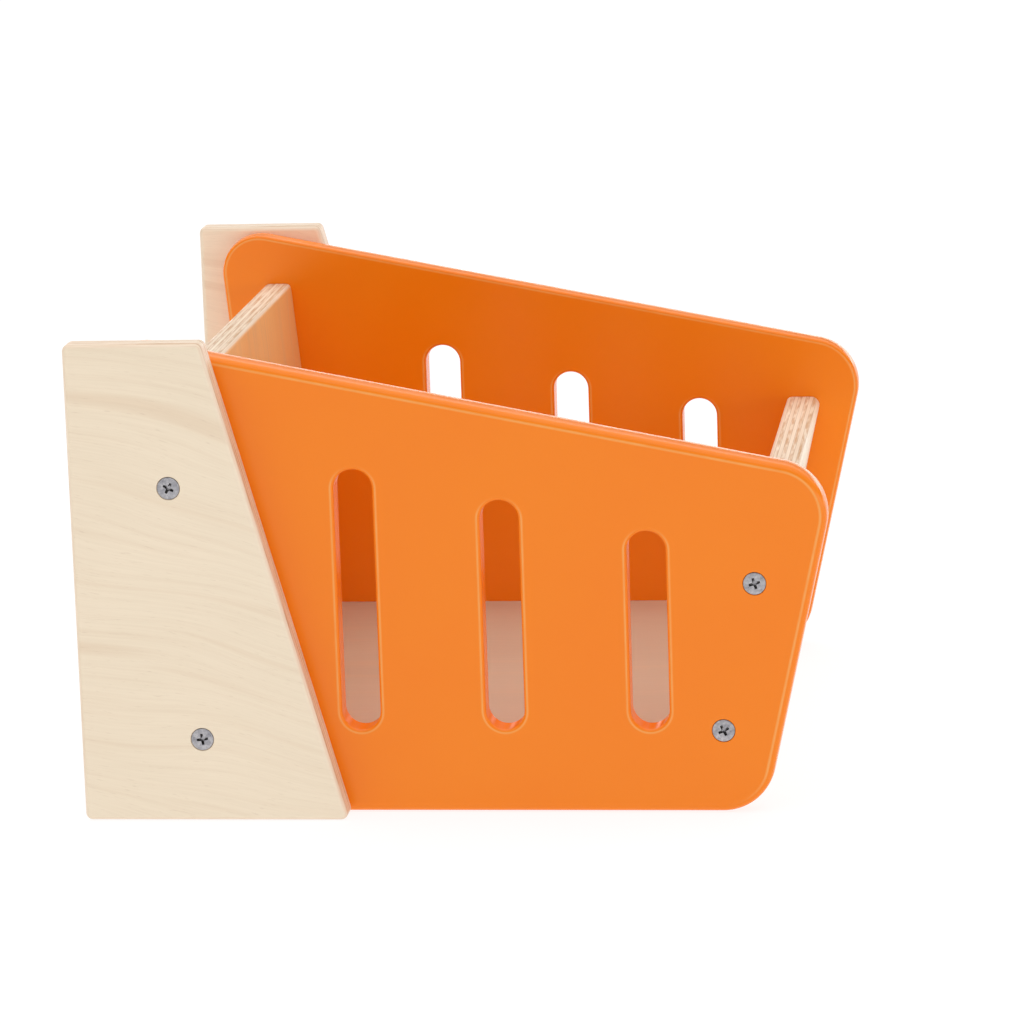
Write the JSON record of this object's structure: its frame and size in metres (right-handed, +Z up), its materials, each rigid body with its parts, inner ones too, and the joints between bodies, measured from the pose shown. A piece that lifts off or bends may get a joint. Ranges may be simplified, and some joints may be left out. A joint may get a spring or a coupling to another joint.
{
  "type": "toddler slide storage bin",
  "caption": "Open-top storage bin from the side of a toddler slide: slotted orange side panels, leaning birch plywood end boards, a floor board and birch cheeks.",
  "frame": {"origin": "bottom centre of the bounding box, on the surface that the bin stands on", "axes": "+X runs along the bin from the cheeks to the outer end board, +Y across it from the near side panel to the far one, +Z up"},
  "size_m": [0.3662, 0.3826, 0.237],
  "materials": {
    "orange_lacquer": "satin orange lacquer on board, rounded arrises",
    "birch_plywood": "clear satin lacquer on pale birch plywood with visible plies on its edges",
    "zinc_steel": "zinc-plated steel, satin",
    "beech_dowel": "plain beech"
  },
  "bodies": {
    "root": {"side_panel_near": "orange_lacquer", "side_panel_far": "orange_lacquer", "cheek_near": "birch_plywood", "cheek_far": "birch_plywood", "inner_end_board": "birch_plywood", "outer_end_board": "birch_plywood", "floor_board": "birch_plywood", "screw_inner_low_near": "zinc_steel", "screw_inner_high_near": "zinc_steel", "screw_outer_low_near": "zinc_steel", "screw_outer_high_near": "zinc_steel", "screw_inner_low_far": "zinc_steel", "screw_inner_high_far": "zinc_steel", "screw_outer_low_far": "zinc_steel", "screw_outer_high_far": "zinc_steel", "floor_dowel_1_near": "beech_dowel", "floor_dowel_2_near": "beech_dowel", "floor_dowel_3_near": "beech_dowel", "floor_dowel_1_far": "beech_dowel", "floor_dowel_2_far": "beech_dowel", "floor_dowel_3_far": "beech_dowel"}
  },
  "joints": []
}
